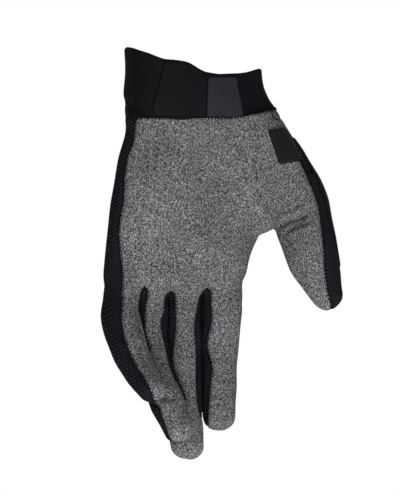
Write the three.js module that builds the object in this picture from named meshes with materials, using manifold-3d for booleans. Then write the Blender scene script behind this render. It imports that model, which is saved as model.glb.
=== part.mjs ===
// A full-finger cycling glove for the left hand, worn, with the cuff up and the fingers hanging down.
// Sizes are in millimetres. The origin is the middle of the wrist opening, +Z runs up out of the cuff,
// the palm faces -Y and the thumb is on the +X side.

import * as THREE from 'three';
import { mergeVertices } from 'three/addons/utils/BufferGeometryUtils.js';
import Module from 'manifold-3d';

const wasm = await Module();
wasm.setup();

// Thicknesses and gaps
const clothWall = 1.6;
const cuffWall = 2.4;
const tabThick = 1.3;
const labelThick = 0.7;
const badgeThick = 1.1;
const thumbBackThick = 0.8;
const pieceGap = 0.3;
const halfGap = pieceGap / 2;
const patchLift = 0.7; // the gap under the tab and the label, where they bend round the cuff
const cutMargin = 0.4; // how far a cutter stands out of the skin that it cuts, less than half a finger gap
const cornerShift = 1.4; // how much a wedge's inner corner moves with its edges
const wedgeParts = 16;
const sideOverlap = 2; // how far the side strips' cutter runs under the palm panel, to leave no slivers
const beyond = 160; // far enough from the origin, each way, to be outside the glove

// How finely the tubes of cloth are made
const aroundFinger = 15;
const aroundCuff = 28;
const aroundInside = 8;
const palmTimes = 1.7; // the palm has this many times the points of a finger
const domeAngles = [38, 72];
const domePower = 0.75; // how full the rounded end of a finger is
const tipWrap = 0.6; // how far the palm panel wraps over a fingertip, as a share of its depth

// Each limb is a tube through the rows of its table. In every row x, y, z is the middle of the tube,
// wide and deep are its half sizes across and through the hand, and inner and outer say how far in front
// of the middle the palm panel ends, on the little finger's side and on the thumb's side. strip says how
// far behind the middle a side strip reaches. turn swings the palm side towards the thumb, in degrees,
// tip is the length of the rounded end, wraps says that the palm panel wraps over it, square is how boxy
// the section is (2 is an ellipse), and margin is how far a cutter may stand out where no finger is near.
const columns = ['x', 'y', 'z', 'wide', 'deep', 'inner', 'outer', 'strip'];

const palm = limb({ turn: 0, square: 2.4, steps: 1, straight: true, tip: 2.2 }, [
  [0.0, 0.0, 22, 38.0, 19.0, 5.5, 0, 0],
  [0.1, 0.0, 0, 38.0, 19.0, 5.5, 0, 0],
  [2.2, 0.0, -12, 40.5, 19.0, 5.5, 0, 0],
  [6.0, 0.0, -22, 44.0, 18.0, 5.5, 0, 0],
  [5.5, 0.0, -31, 43.6, 17.0, 5.5, 3, 0],
  [3.2, 0.0, -46, 45.2, 16.5, 5.5, 4, 0],
  [-0.6, 0.0, -66, 45.5, 16.0, 6.2, 3, 0],
  [-4.9, 0.0, -84, 43.4, 15.0, 6.0, 0, 0],
  [-8.9, 0.0, -97, 41.2, 13.8, 7.0, 0, 0],
  [-10.8, -0.2, -106, 40.2, 12.0, 8.0, 0, 0],
  [-12.0, -0.5, -110.5, 38.8, 9.6, 7.5, 0, 0],
  [-12.6, -0.6, -113.2, 37.0, 6.5, 5.5, 0, 0],
]);

const index = limb({ turn: 0, square: 2.3, steps: 2, tip: 7.5, wraps: true }, [
  [15.0, 2.0, -98, 10.0, 8.6, 6.0, -2, 4.0],
  [16.2, -1.0, -119, 11.3, 9.0, 5.0, -2, 5.0],
  [12.6, -5.0, -146.3, 10.0, 8.7, 5.0, -2, 4.5],
  [9.0, -12.0, -167, 9.5, 8.5, 3.5, -2, 4.5],
  [7.2, -17.3, -180.6, 8.6, 7.8, -3.0, -4.0, 4.5],
]);

const middle = limb({ turn: 3, square: 2.3, steps: 2, tip: 7.2, wraps: true }, [
  [-6.0, 3.0, -98, 8.6, 8.6, 7.0, 7.6, 4.0],
  [-6.2, 1.0, -119.3, 9.8, 9.0, 6.5, 7.9, 5.0],
  [-8.7, -4.0, -146.3, 9.6, 8.7, 5.6, 7.7, 4.5],
  [-12.6, -15.5, -172.8, 9.1, 8.4, 4.5, 6.0, 4.0],
  [-16.6, -28.0, -194.2, 8.4, 7.4, -3.5, -3.5, 4.5],
]);

const ring = limb({ turn: 8, square: 2.3, steps: 2, tip: 6.8, wraps: true }, [
  [-23.0, 2.5, -98, 8.0, 8.6, 7.0, 7.6, 4.0],
  [-25.4, -1.5, -119.3, 8.8, 9.0, 6.8, 7.9, 5.0],
  [-28.7, -10.0, -146.8, 8.7, 8.8, 6.0, 7.5, 4.5],
  [-28.3, -28.5, -170, 8.6, 8.4, 3.5, 4.5, 4.0],
  [-27.2, -40.6, -184.6, 7.5, 6.6, -3.5, -3.5, 4.5],
]);

const little = limb({ turn: 14, square: 2.3, steps: 2, tip: 6, wraps: true }, [
  [-38.5, -0.5, -98, 7.6, 8.6, 7.0, 4.5, 4.0],
  [-43.5, -3.0, -119.3, 8.7, 9.7, 7.8, 5.2, 5.0],
  [-46.0, -8.5, -131, 9.2, 10.2, 7.8, 4.5, 5.0],
  [-44.6, -24.0, -151, 8.7, 8.5, 6.0, 2.5, 4.0],
  [-41.2, -39.0, -164.2, 7.3, 6.5, -3.0, -3.5, 4.5],
]);

const thumb = limb({ turn: -42, square: 2.3, steps: 1, tip: 7, margin: 1 }, [
  [27.5, -2.0, -12, 12.0, 14.0, -3.0, -5.0, 2.0],
  [35.0, -6.0, -30, 14.0, 15.5, -3.0, -4.0, 2.0],
  [43.2, -12.5, -48, 15.4, 15.5, -2.0, 3.0, 2.0],
  [50.6, -20.0, -66, 15.8, 14.5, -1.0, 6.5, 5.0],
  [52.6, -25.0, -79, 14.8, 12.6, -1.0, 8.3, 6.0],
  [54.6, -30.0, -92, 13.4, 12.6, -1.0, 9.6, 6.0],
  [56.6, -34.0, -104, 11.8, 11.0, -1.0, 9.4, 6.0],
  [60.7, -37.5, -117.0, 8.1, 8.4, -1.0, 7.6, 4.0],
]);

// The web between two fingers, where their side strips meet. It starts bridgeSink behind the palm
// panel's edge and reaches bridgeReach into each finger from the finger's middle.
const webTop = -112.6;
const webBottom = -121;
const bridgeSink = 0.4;
const bridgeReach = 3;

// The ball of the thumb, and the web of cloth between the thumb and the palm
const thumbBall = limb({ turn: -14, square: 2.2, steps: 1, tip: 4, margin: 2 }, [
  [14.0, 0.0, -12, 15.0, 15.0, 0, 0, 0],
  [21.0, -2.6, -30, 22.0, 15.8, 0, 0, 0],
  [28.5, -6.4, -48, 21.0, 15.2, 0, 0, 0],
  [34.5, -10.6, -63, 16.0, 12.0, 0, 0, 0],
  [38.0, -13.5, -73, 9.5, 6.5, 0, 0, 0],
]);
const thumbWeb = limb({ turn: 0, square: 2.2, steps: 1, margin: 1 }, [
  [24.0, -3.0, -68, 13.0, 6.5, 0, 0, 0],
  [34.0, -6.5, -71, 12.0, 6.5, 0, 0, 0],
  [43.0, -13.0, -71.5, 11.0, 6.5, 0, 0, 0],
  [50.0, -20.0, -72, 9.0, 6.5, 0, 0, 0],
]);

// The line where the cuff meets the palm and the back, seen from the front
const cuffLine = readTable(['x', 'z'], [
  [-90, -24.5],
  [-12, -24.6],
  [18, -23.4],
  [32, -20.4],
  [46, -17.4],
  [90, -12],
]);

// The cuff's top edge, at angles round the wrist: 0 is the thumb's side, 90 the palm, 180 the little finger's
const cuffTop = readTable(['angle', 'z'], [
  [0, 2.5],
  [22, 3.0],
  [40, 2.4],
  [55, 0.6],
  [84, -1.0],
  [91, -0.2],
  [101, 4.1],
  [113, 5.6],
  [125, 6.0],
  [143, 9.2],
  [170, 12.1],
  [186, 13.2],
  [200, 12.0],
  [225, 9.0],
  [250, 5.0],
  [270, 1.5],
  [290, -1.5],
  [320, -1.2],
  [345, 1.2],
  [360, 2.5],
]);

// The rings of points up the cuff, as shares of its height
const cuffHeights = [0, 0.2, 0.36, 0.6, 1];

// Folds pressed into the cuff, each a groove round part of it
const cuffFolds = readTable(['angle', 'z', 'depth', 'spread', 'height'], [
  [182, -15.6, 1.3, 26, 2.6],
  [8, -9.0, 0.7, 24, 3.5],
]);

// Corners of the flat pieces, seen from the front: the left edge down, then the right edge down
const tabLeft = readTable(['x', 'z'], [
  [-24.4, 2.6],
  [-27.6, -6],
  [-29.6, -12.4],
  [-32.0, -19],
  [-31.4, -21.6],
  [-29.4, -23.0],
]);
const tabRight = readTable(['x', 'z'], [
  [-2.4, -2.2],
  [-2.2, -6],
  [-2.0, -12.4],
  [-1.8, -19],
  [-1.8, -21.8],
  [-1.8, -23.3],
]);
const labelLeft = readTable(['x', 'z'], [
  [0.8, -3.4],
  [-0.1, -4.4],
  [-0.2, -12.4],
  [-0.4, -23.2],
]);
const labelRight = readTable(['x', 'z'], [
  [16.6, -2.8],
  [17.8, -3.9],
  [19.3, -12.4],
  [21.2, -22.4],
]);

const tabBand = { thickness: tabThick, strips: 6, shift: 0 };
const labelBand = { thickness: labelThick, strips: 4, shift: 4.5 };

// The badge at the heel of the hand, on a plane that faces badgeFacing degrees from the palm's direction
const badgeFacing = -25;
const badgeOutline = readTable(['across', 'up'], [
  [40.6, -28.9],
  [48.4, -27.6],
  [52.2, -34.6],
  [56.4, -46.4],
  [47.2, -48.0],
  [45.2, -46.8],
  [39.6, -31.0],
]);

// The upper end of the knit strip on the thumb's outer side
const thumbSideTop = -52;

// How much of the thumb the smooth back piece covers, from its upper end to its lower end
const thumbBackTop = -34;
const thumbBackEnd = -102;
const thumbBackEdge = readTable(['z', 'outer', 'inner'], [
  [-30, -5.5, -7],
  [-50, 1.0, -7],
  [-60, 4.5, -7],
  [-75, 3.0, -7],
  [-90, 0.0, -7],
  [-104, -4.0, -6],
]);

// Tables and plain numbers

function readTable(names, rows) {
  return rows.map((row) => Object.fromEntries(names.map((name, i) => [name, row[i]])));
}

function limb(shape, rows) {
  return { ...shape, rows: readTable(columns, rows) };
}

// The value in a table's column, on a smooth curve or on straight lines between its rows
function smoothBetween(rows, name, i, t) {
  const at = (k) => rows[k][name];
  const b = at(i);
  const c = at(i + 1);
  const a = i > 0 ? at(i - 1) : 2 * b - c;
  const d = i + 2 < rows.length ? at(i + 2) : 2 * c - b;
  const cubic = (3 * b - a - 3 * c + d) * t ** 3;
  return 0.5 * (2 * b + (c - a) * t + (2 * a - 5 * b + 4 * c - d) * t * t + cubic);
}

function lookUp(rows, key, value, name, smooth = false) {
  const rising = rows.at(-1)[key] > rows[0][key];
  const past = (row) => (rising ? row[key] >= value : row[key] <= value);
  const next = Math.max(1, rows.findIndex(past));
  const i = past(rows.at(-1)) ? next - 1 : rows.length - 2;
  const span = rows[i + 1][key] - rows[i][key];
  const t = THREE.MathUtils.clamp((value - rows[i][key]) / span, 0, 1);
  if (smooth) return smoothBetween(rows, name, i, t);
  return THREE.MathUtils.lerp(rows[i][name], rows[i + 1][name], t);
}

// Stations along a limb: each has a middle, an axis across, an axis to the palm side, and its sizes

function stationsOf(shape, grow = 0) {
  const rows = [];
  for (let i = 0; i < shape.rows.length - 1; i += 1) {
    for (let k = 0; k < shape.steps; k += 1) {
      const pairs = columns.map((name) => [name, smoothBetween(shape.rows, name, i, k / shape.steps)]);
      rows.push(Object.fromEntries(pairs));
    }
  }
  rows.push({ ...shape.rows.at(-1) });
  const middles = rows.map((row) => new THREE.Vector3(row.x, row.y, row.z));
  const turn = THREE.MathUtils.degToRad(shape.turn);
  const palmWay = new THREE.Vector3(Math.sin(turn), -Math.cos(turn), 0);
  const stations = rows.map((row, i) => {
    const before = middles[Math.max(i - 1, 0)];
    const after = middles[Math.min(i + 1, rows.length - 1)];
    const along = shape.straight ? new THREE.Vector3(0, 0, -1) : after.clone().sub(before).normalize();
    const front = palmWay.clone().addScaledVector(along, -palmWay.dot(along)).normalize();
    const across = front.clone().cross(along);
    return { ...row, square: shape.square, wraps: shape.wraps, middle: middles[i], along, front, across };
  });
  for (const station of stations) {
    station.wide += grow;
    station.deep += grow;
  }
  if (shape.tip) stations.push(...tipStations(stations.at(-1), shape.tip + grow));
  if (shape.reach) stations.at(-1).middle.addScaledVector(stations.at(-1).along, shape.reach);
  return stations;
}

// The rounded end of a finger, as sections that shrink along a quarter turn
function tipStations(last, reach) {
  return domeAngles.map((degrees) => {
    const angle = THREE.MathUtils.degToRad(degrees);
    const scale = Math.cos(angle) ** domePower;
    const middle = last.middle.clone().addScaledVector(last.along, Math.sin(angle) * reach);
    const sizes = ['wide', 'deep', 'inner', 'outer', 'strip'].map((name) => [name, last[name] * scale]);
    const seam = -tipWrap * last.deep * scale;
    const wrapped = last.wraps ? { inner: seam, outer: seam } : {};
    return { ...last, ...Object.fromEntries(sizes), ...wrapped, middle };
  });
}

function skinPoint(station, angle) {
  const bend = (value) => Math.sign(value) * Math.abs(value) ** (2 / station.square);
  return station.middle.clone()
    .addScaledVector(station.across, station.wide * bend(Math.cos(angle)))
    .addScaledVector(station.front, station.deep * bend(Math.sin(angle)));
}

// The angle round a section at which the skin is a given distance in front of the middle
function edgeAngle(station, distance, side) {
  const share = THREE.MathUtils.clamp(distance / station.deep, -0.995, 0.995);
  const angle = Math.asin(Math.sign(share) * Math.abs(share) ** (station.square / 2));
  return side === 'outer' ? angle : Math.PI - angle;
}

// Closed solids from rings of points

function loft(rings) {
  const count = rings[0].length;
  const points = rings.flat();
  const faces = [];
  for (let r = 0; r < rings.length - 1; r += 1) {
    for (let i = 0; i < count; i += 1) {
      const a = r * count + i;
      const b = r * count + ((i + 1) % count);
      faces.push(a, b, b + count, a, b + count, a + count);
    }
  }
  const last = (rings.length - 1) * count;
  for (let i = 1; i < count - 1; i += 1) {
    faces.push(0, i + 1, i);
    faces.push(last, last + i, last + i + 1);
  }
  return solidFrom(points, faces);
}

function solidFrom(points, faces) {
  const vertProperties = new Float32Array(points.flatMap((point) => point.toArray()));
  const turned = signedVolume(points, faces) < 0;
  const order = turned ? faces.map((_, k) => faces[k - (k % 3) + [0, 2, 1][k % 3]]) : faces;
  return new wasm.Manifold(new wasm.Mesh({ numProp: 3, vertProperties, triVerts: new Uint32Array(order) }));
}

function signedVolume(points, faces) {
  let volume = 0;
  for (let k = 0; k < faces.length; k += 3) {
    const [a, b, c] = [points[faces[k]], points[faces[k + 1]], points[faces[k + 2]]];
    volume += a.dot(b.clone().cross(c)) / 6;
  }
  return volume;
}

function solidOf(geometry) {
  geometry.deleteAttribute('normal');
  geometry.deleteAttribute('uv');
  const merged = mergeVertices(geometry, 1e-4);
  const vertProperties = new Float32Array(merged.attributes.position.array);
  const triVerts = new Uint32Array(merged.index.array);
  return new wasm.Manifold(new wasm.Mesh({ numProp: 3, vertProperties, triVerts }));
}

function joined(solids) {
  return solids.reduce((sum, solid) => sum.add(solid));
}

// A panel without the crumbs that two cutters can leave between them
function withoutCrumbs(solid) {
  return solid.decompose().reduce((best, part) => (part.volume() > best.volume() ? part : best));
}

// A whole limb, or the wedge of it between two angles that depend on the station

function wholeLimb(shape, around, grow = 0) {
  return loft(stationsOf(shape, grow).map((station) => {
    const angles = Array.from({ length: around }, (_, i) => (i / around) * 2 * Math.PI);
    return angles.map((angle) => skinPoint(station, angle));
  }));
}

function wedge(shape, fromAngle, toAngle, inset, grow = shape.margin ?? cutMargin) {
  return loft(stationsOf(shape, grow - inset).map((station) => {
    const from = fromAngle(station);
    const to = toAngle(station);
    const angles = Array.from({ length: wedgeParts + 1 }, (_, i) => from + ((to - from) * i) / wedgeParts);
    const inward = skinPoint(station, (from + to) / 2).sub(station.middle).normalize();
    const corner = station.middle.clone().addScaledVector(inward, cornerShift * inset);
    return [corner, ...angles.map((angle) => skinPoint(station, angle))];
  }));
}

// A panel's region is made smaller by a positive inset, and larger by a negative one

function frontWedge(shape, inset) {
  const from = (station) => edgeAngle(station, station.outer + inset, 'outer');
  const to = (station) => edgeAngle(station, station.inner + inset, 'inner');
  return wedge(shape, from, to, inset);
}

function stripWedge(shape, side, inset, overlap = 0) {
  const from = (station) => edgeAngle(station, station[side] - inset + overlap, side);
  const to = (station) => edgeAngle(station, -station.strip + inset, side);
  return wedge({ ...shape, tip: 0, reach: -inset }, from, to, inset);
}

function bridgeBetween(inside, outside, inset) {
  // the block between two fingers where their side strips meet at the web
  const a = inside.rows[1];
  const b = outside.rows[1];
  const front = Math.max(a.y - a.outer, b.y - b.inner) + bridgeSink;
  const back = Math.max(a.y, b.y) + Math.min(a.strip, b.strip);
  const width = b.x - a.x - 2 * bridgeReach - 2 * inset;
  const height = webTop - webBottom - 2 * inset;
  const block = new THREE.BoxGeometry(width, back - front - 2 * inset, height);
  block.translate((a.x + b.x) / 2, (front + back) / 2, (webTop + webBottom) / 2);
  return solidOf(block);
}

function fourchette(inside, outside, inset, overlap = 0) {
  return joined([
    stripWedge(inside, 'outer', inset, overlap),
    stripWedge(outside, 'inner', inset, overlap),
    bridgeBetween(inside, outside, inset),
  ]);
}

// Everything above the cuff line, down to a given drop below it
function aboveCuffLine(drop) {
  const outline = new THREE.Shape();
  outline.moveTo(cuffLine[0].x, beyond);
  for (const row of cuffLine) outline.lineTo(row.x, row.z - drop);
  outline.lineTo(cuffLine.at(-1).x, beyond);
  const block = new THREE.ExtrudeGeometry(outline, { depth: 2 * beyond, bevelEnabled: false });
  block.rotateX(Math.PI / 2);
  block.translate(0, beyond, 0);
  return solidOf(block);
}

// A limb's space between two heights, to trim a strip or an overlay to its length
function slab(top, bottom) {
  const block = new THREE.BoxGeometry(2 * beyond, 2 * beyond, top - bottom);
  block.translate(0, 0, (top + bottom) / 2);
  return solidOf(block);
}

// The hollow body of the glove

const fingers = [little, ring, middle, index];
const limbs = [palm, thumbBall, thumbWeb, ...fingers, thumb];

function body(grow, around) {
  const solids = limbs.map((shape) => {
    const isPalm = shape === palm;
    return wholeLimb(shape, isPalm ? Math.round(around * palmTimes) : around, grow);
  });
  return joined(solids);
}

const outside = body(0, aroundFinger);
const hollow = body(-clothWall, aroundInside);
const shell = outside.subtract(hollow).subtract(aboveCuffLine(halfGap));

function palmRegion(inset) {
  return joined(limbs.map((shape) => frontWedge(shape, inset)));
}

const fourchettePairs = [
  ['fourchette_ring_little', little, ring],
  ['fourchette_middle_ring', ring, middle],
  ['fourchette_index_middle', middle, index],
];
const thumbSideRegion = (inset, overlap = 0) => (
  stripWedge(thumb, 'outer', inset, overlap).intersect(slab(thumbSideTop - inset, -beyond)));

function sideStrips(inset, overlap) {
  const strips = fourchettePairs.map(([, a, b]) => fourchette(a, b, inset, overlap));
  return joined([...strips, thumbSideRegion(inset, overlap)]);
}

const palmCut = shell.intersect(palmRegion(halfGap)).subtract(sideStrips(-halfGap));
const backCut = shell.subtract(palmRegion(-halfGap)).subtract(sideStrips(-halfGap, sideOverlap));
const palmPanel = withoutCrumbs(palmCut);
const backPanel = withoutCrumbs(backCut);

// The smooth overlay on the thumb's back

function thumbBack() {
  const edge = (name) => (station) => lookUp(thumbBackEdge, 'z', station.middle.z, name);
  const from = (station) => edgeAngle(station, edge('inner')(station), 'inner');
  const to = (station) => 2 * Math.PI + edgeAngle(station, edge('outer')(station), 'outer');
  const grow = pieceGap + thumbBackThick + cutMargin;
  const region = wedge(thumb, from, to, 0, grow).intersect(slab(thumbBackTop, thumbBackEnd));
  const over = body(pieceGap + thumbBackThick, aroundFinger).subtract(body(pieceGap, aroundFinger));
  return over.intersect(region);
}

// The cuff: a band round the wrist with a shaped top edge

function cuffSection(z) {
  const value = (name) => lookUp(palm.rows, 'z', z, name);
  return {
    square: palm.square,
    wide: value('wide'),
    deep: value('deep'),
    middle: new THREE.Vector3(value('x'), value('y'), z),
    across: new THREE.Vector3(1, 0, 0),
    front: new THREE.Vector3(0, -1, 0),
  };
}

function cuffPoint(angle, z, grow) {
  const degrees = THREE.MathUtils.euclideanModulo(THREE.MathUtils.radToDeg(angle), 360);
  let dent = 0;
  for (const fold of cuffFolds) {
    const apart = Math.abs(THREE.MathUtils.euclideanModulo(degrees - fold.angle + 180, 360) - 180);
    dent += fold.depth * Math.exp(-((apart / fold.spread) ** 2) - ((z - fold.z) / fold.height) ** 2);
  }
  const section = cuffSection(z);
  section.wide += grow - dent;
  section.deep += grow - dent;
  return skinPoint(section, angle);
}

function cuff() {
  const angles = Array.from({ length: aroundCuff }, (_, i) => (i / aroundCuff) * 2 * Math.PI);
  const column = (angle) => {
    const degrees = THREE.MathUtils.radToDeg(angle);
    const top = lookUp(cuffTop, 'angle', degrees, 'z', true);
    const middle = cuffLine[1].z;
    const bottom = lookUp(cuffLine, 'x', cuffPoint(angle, middle, 0).x, 'z') + halfGap;
    const rise = (share) => THREE.MathUtils.lerp(bottom, top, share);
    const skin = cuffHeights.map((share) => cuffPoint(angle, rise(share), 0));
    const lining = cuffHeights.map((share) => cuffPoint(angle, rise(share), -cuffWall)).reverse();
    return [...skin, ...lining];
  };
  return ringOfColumns(angles.map(column));
}

// A closed ring, such as a band, from the outline of its wall at each angle
function ringOfColumns(walls) {
  const count = walls[0].length;
  const points = walls.flat();
  const faces = [];
  walls.forEach((_, w) => {
    const here = w * count;
    const there = ((w + 1) % walls.length) * count;
    for (let i = 0; i < count; i += 1) {
      const j = (i + 1) % count;
      faces.push(here + i, here + j, there + j, here + i, there + j, there + i);
    }
  });
  return solidFrom(points, faces);
}

// A block in front of the glove, with the outline that is seen from the front
function frontBlock(corners) {
  const outline = new THREE.Shape(corners.map(([x, z]) => new THREE.Vector2(x, z)));
  const block = new THREE.ExtrudeGeometry(outline, { depth: beyond, bevelEnabled: false });
  return block.rotateX(Math.PI / 2);
}

// A flat piece laid on the cuff's palm side: a band that bends round the wrist in flat strips and leans
// with the cuff, cut to the outline between a left edge and a right edge. shift is how far the band goes
// towards the thumb on its way down.

function cuffPatch(left, right, { thickness, strips, shift }) {
  const corners = [...left, ...right.slice().reverse()].map((row) => [row.x, row.z]);
  const xs = corners.map(([x]) => x);
  const zs = corners.map(([, z]) => z);
  const [low, high, bottom, top] = [Math.min(...xs), Math.max(...xs), Math.min(...zs), Math.max(...zs)];
  const angleAt = (x) => {
    const { middle, wide, square } = cuffSection(top);
    const share = THREE.MathUtils.clamp((x - middle.x) / wide, -1, 1);
    return Math.acos(Math.sign(share) * Math.abs(share) ** (square / 2));
  };
  const leanX = shift / (bottom - top);
  const leanY = (cuffSection(top).deep - cuffSection(bottom).deep) / (bottom - top);
  const edge = (lift) => Array.from({ length: strips + 1 }, (_, i) => {
    const section = cuffSection(top);
    section.wide += lift;
    section.deep += lift;
    const x = THREE.MathUtils.lerp(low - shift, high, i / strips);
    const point = skinPoint(section, angleAt(x));
    return new THREE.Vector2(point.x, point.y);
  });
  const profile = new THREE.Shape([...edge(patchLift), ...edge(patchLift + thickness).reverse()]);
  const band = new THREE.ExtrudeGeometry(profile, { depth: top - bottom, bevelEnabled: false });
  band.translate(0, 0, bottom - top);
  band.applyMatrix4(new THREE.Matrix4().makeShear(0, 0, 0, 0, leanX, leanY));
  band.translate(0, 0, top);
  return solidOf(band).intersect(solidOf(frontBlock(corners)));
}

// The badge, cut from a skin over the ball of the thumb

function heelBadge() {
  const block = frontBlock(badgeOutline.map((row) => [row.across, row.up]));
  block.rotateZ(THREE.MathUtils.degToRad(badgeFacing));
  const over = body(pieceGap + badgeThick, aroundFinger).subtract(body(pieceGap, aroundFinger));
  return over.intersect(solidOf(block));
}

// Naming and colouring

function geometryOf(solid) {
  const mesh = solid.getMesh();
  const geometry = new THREE.BufferGeometry();
  geometry.setAttribute('position', new THREE.BufferAttribute(mesh.vertProperties, 3));
  geometry.setIndex(new THREE.BufferAttribute(mesh.triVerts, 1));
  return geometry;
}

function piece(name, solid, { color, roughness }) {
  const geometry = geometryOf(solid);
  geometry.computeVertexNormals();
  const mesh = new THREE.Mesh(geometry, new THREE.MeshStandardMaterial({ color, roughness, metalness: 0 }));
  mesh.name = name;
  return mesh;
}

const suede = { color: 0x68686a, roughness: 0.95 };
const knit = { color: 0x202026, roughness: 0.85 };
const elastic = { color: 0x17181b, roughness: 0.8 };
const smoothBlack = { color: 0x1b1b1f, roughness: 0.6 };
const labelPrint = { color: 0x312f36, roughness: 0.7 };
const rubber = { color: 0x272729, roughness: 0.55 };

const glove = new THREE.Group();
glove.add(piece('palm_panel', palmPanel, suede));
glove.add(piece('back_panel', backPanel, knit));
for (const [name, a, b] of fourchettePairs) {
  glove.add(piece(name, shell.intersect(fourchette(a, b, halfGap)), knit));
}
glove.add(piece('thumb_side', shell.intersect(thumbSideRegion(halfGap)), knit));
glove.add(piece('thumb_back', thumbBack(), smoothBlack));
glove.add(piece('cuff', cuff(), elastic));
glove.add(piece('wrist_tab', cuffPatch(tabLeft, tabRight, tabBand), smoothBlack));
glove.add(piece('cuff_label', cuffPatch(labelLeft, labelRight, labelBand), labelPrint));
glove.add(piece('heel_badge', heelBadge(), rubber));

export default glove;
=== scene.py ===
import math

import bpy
import numpy as np
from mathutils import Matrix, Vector
from mathutils.bvhtree import BVHTree


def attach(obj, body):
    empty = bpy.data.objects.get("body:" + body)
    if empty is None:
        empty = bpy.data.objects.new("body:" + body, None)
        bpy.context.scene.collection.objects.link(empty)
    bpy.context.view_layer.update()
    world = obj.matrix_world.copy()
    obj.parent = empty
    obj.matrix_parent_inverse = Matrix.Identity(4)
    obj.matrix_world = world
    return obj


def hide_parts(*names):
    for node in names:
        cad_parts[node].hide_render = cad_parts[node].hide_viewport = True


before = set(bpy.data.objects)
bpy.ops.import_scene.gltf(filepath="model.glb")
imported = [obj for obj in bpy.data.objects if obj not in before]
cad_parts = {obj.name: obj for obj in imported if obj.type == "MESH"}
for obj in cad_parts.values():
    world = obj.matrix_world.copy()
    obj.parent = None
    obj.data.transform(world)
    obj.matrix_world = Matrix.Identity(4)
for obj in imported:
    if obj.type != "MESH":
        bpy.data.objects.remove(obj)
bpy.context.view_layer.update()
mm = 0.001

# Everything below is worked out in millimetres and turned into metres when a mesh is made.
# In each row of a limb: the middle of the tube, then its half sizes across and through the hand.
limbs = {
    "palm": {"turn": 0, "square": 2.4, "straight": True, "tip": 2.2, "rows": [
        (0.0, 0.0, 22, 38.0, 19.0), (0.1, 0.0, 0, 38.0, 19.0), (2.2, 0.0, -12, 40.5, 19.0),
        (6.0, 0.0, -22, 44.0, 18.0), (5.5, 0.0, -31, 43.6, 17.0), (3.2, 0.0, -46, 45.2, 16.5),
        (-0.6, 0.0, -66, 45.5, 16.0), (-4.9, 0.0, -84, 43.4, 15.0), (-8.9, 0.0, -97, 41.2, 13.8),
        (-10.8, -0.2, -106, 40.2, 12.0), (-12.0, -0.5, -110.5, 38.8, 9.6), (-12.6, -0.6, -113.2, 37.0, 6.5)]},
    "thumbBall": {"turn": -14, "square": 2.2, "tip": 4, "rows": [
        (14.0, 0.0, -12, 15.0, 15.0), (21.0, -2.6, -30, 22.0, 15.8), (28.5, -6.4, -48, 21.0, 15.2),
        (34.5, -10.6, -63, 16.0, 12.0), (38.0, -13.5, -73, 9.5, 6.5)]},
    "thumbWeb": {"turn": 0, "square": 2.2, "tip": 2, "rows": [
        (24.0, -3.0, -68, 13.0, 6.5), (34.0, -6.5, -71, 12.0, 6.5), (43.0, -13.0, -71.5, 11.0, 6.5),
        (50.0, -20.0, -72, 9.0, 6.5)]},
    "index": {"turn": 0, "square": 2.3, "tip": 6.9, "apart": 4.5, "rows": [
        (15.0, 2.0, -98, 10.0, 8.6), (16.2, -1.0, -119, 11.3, 9.0), (12.4, -5.0, -146.3, 10.8, 8.7),
        (8.8, -12.0, -167, 9.8, 8.5), (7.2, -17.3, -180.6, 8.6, 7.8)]},
    "middle": {"turn": 3, "square": 2.3, "tip": 6.6, "apart": 1.5, "rows": [
        (-6.0, 3.0, -98, 8.6, 8.6), (-6.2, 1.0, -119.3, 9.8, 9.0), (-8.4, -4.0, -146.3, 10.2, 8.7),
        (-12.4, -15.5, -172.8, 9.2, 8.4), (-16.2, -28.0, -194.2, 8.8, 7.4)]},
    "ring": {"turn": 8, "square": 2.3, "tip": 6.4, "apart": -1.5, "rows": [
        (-23.0, 2.5, -98, 8.0, 8.6), (-25.4, -1.5, -119.3, 8.8, 9.0), (-28.7, -10.0, -146.8, 8.7, 8.8),
        (-28.3, -28.5, -170, 8.6, 8.4), (-27.2, -40.6, -184.6, 7.5, 6.6)]},
    "little": {"turn": 14, "square": 2.3, "tip": 5.6, "apart": -4.5, "rows": [
        (-38.5, -0.5, -98, 7.6, 8.6), (-42.3, -3.0, -119.3, 9.4, 9.7), (-45.0, -8.5, -131, 9.6, 10.0),
        (-44.0, -24.0, -151, 8.6, 8.3), (-41.0, -39.0, -164.2, 7.2, 6.4)]},
    "thumb": {"turn": -42, "square": 2.3, "tip": 7, "apart": 0, "rows": [
        (27.5, -2.0, -12, 12.0, 14.0), (35.0, -6.0, -30, 14.0, 15.5), (43.2, -12.5, -48, 15.4, 15.5),
        (50.6, -20.0, -66, 15.8, 14.5), (52.6, -25.0, -79, 14.8, 12.6), (54.6, -30.0, -92, 13.4, 12.6),
        (56.6, -34.0, -104, 11.8, 11.0), (60.7, -37.5, -117.0, 8.1, 8.4)]},
}

# The view that the photograph shows: its azimuth, and the spot at the middle of the picture
shot = {"azimuth": -25.0, "across": 3.7, "up": -92.0, "pictureHeight": 262.35, "lens": 165.0}
viewTurn = math.radians(shot["azimuth"])
viewRight = np.array([math.cos(viewTurn), math.sin(viewTurn), 0.0])
viewBack = np.array([math.sin(viewTurn), -math.cos(viewTurn), 0.0])


# Curves and tubes

def smoothRows(rows, per):
    rows = np.array(rows, float)
    ends = np.vstack([2 * rows[0] - rows[1], rows, 2 * rows[-1] - rows[-2]])
    made = []
    for i in range(1, len(ends) - 2):
        a, b, c, d = ends[i - 1:i + 3]
        for t in np.arange(per) / per:
            made.append(0.5 * (2 * b + (c - a) * t + (2 * a - 5 * b + 4 * c - d) * t * t
                               + (3 * b - a - 3 * c + d) * t ** 3))
    return np.vstack([made, rows[-1]])


def bend(value, square):
    return np.sign(value) * np.abs(value) ** (2 / square)


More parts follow.
